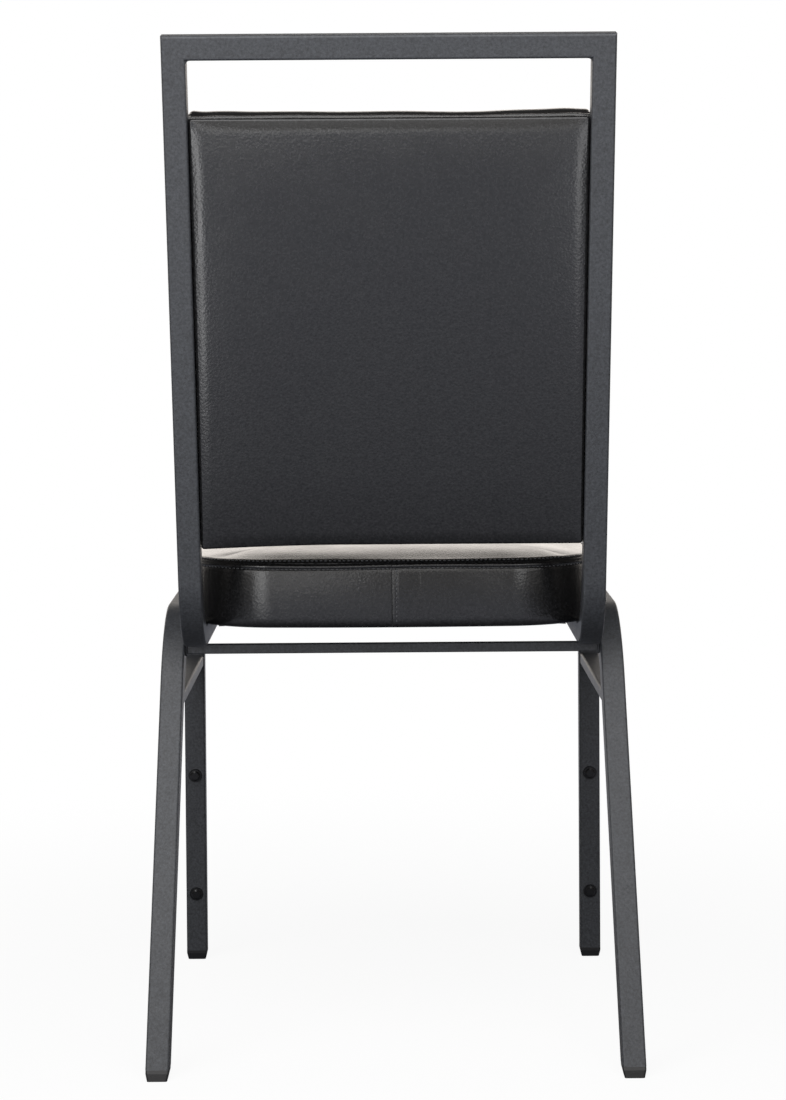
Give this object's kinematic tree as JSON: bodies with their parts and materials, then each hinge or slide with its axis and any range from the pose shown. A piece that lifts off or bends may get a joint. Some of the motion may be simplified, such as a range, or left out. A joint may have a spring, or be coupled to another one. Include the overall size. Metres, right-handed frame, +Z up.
{
  "type": "banquet chair",
  "caption": "Stacking banquet chair: bent square-tube frame in dark powder coat, open handhold under the top rail, upholstered black vinyl seat and back.",
  "frame": {"origin": "on the floor under the middle of the chair's box", "axes": "+X to the sitter's left, -Y the way the sitter faces, +Z up"},
  "size_m": [0.4686, 0.531, 0.967],
  "materials": {
    "powder_coat": "fine-textured dark charcoal powder coat, satin",
    "vinyl": "black upholstery vinyl with a fine grain, semi-gloss",
    "foam": "open-cell upholstery foam",
    "plywood": "raw plywood",
    "dust_cloth": "black non-woven cloth",
    "glide_plastic": "moulded black plastic",
    "bumper_rubber": "moulded black rubber, smooth",
    "zinc_steel": "zinc-plated steel"
  },
  "bodies": {
    "root": {"left_leg_frame": "powder_coat", "right_leg_frame": "powder_coat", "left_back_frame": "powder_coat", "right_back_frame": "powder_coat", "top_rail": "powder_coat", "top_rail_welds": "powder_coat", "left_side_stretcher": "powder_coat", "right_side_stretcher": "powder_coat", "rear_cross_bar": "powder_coat", "front_cross_bar": "powder_coat", "seat_tabs": "powder_coat", "back_tabs": "powder_coat", "seat_side_band": "vinyl", "seat_top_cover": "vinyl", "back_front_cover": "vinyl", "rear_panel_cover": "vinyl", "seat_foam": "foam", "back_foam": "foam", "rear_panel_foam": "foam", "seat_board": "plywood", "back_board": "plywood", "rear_panel_board": "plywood", "seat_dust_cover": "dust_cloth", "rear_left_glide": "glide_plastic", "rear_right_glide": "glide_plastic", "front_left_glide": "glide_plastic", "front_right_glide": "glide_plastic", "left_rail_cap": "glide_plastic", "right_rail_cap": "glide_plastic", "rear_panel_clips": "glide_plastic", "upper_stack_bumpers": "bumper_rubber", "lower_stack_bumpers": "bumper_rubber", "stretcher_bumpers": "bumper_rubber", "seat_screws": "zinc_steel", "seat_tnuts": "zinc_steel", "back_screws": "zinc_steel", "back_tnuts": "zinc_steel"}
  },
  "joints": []
}
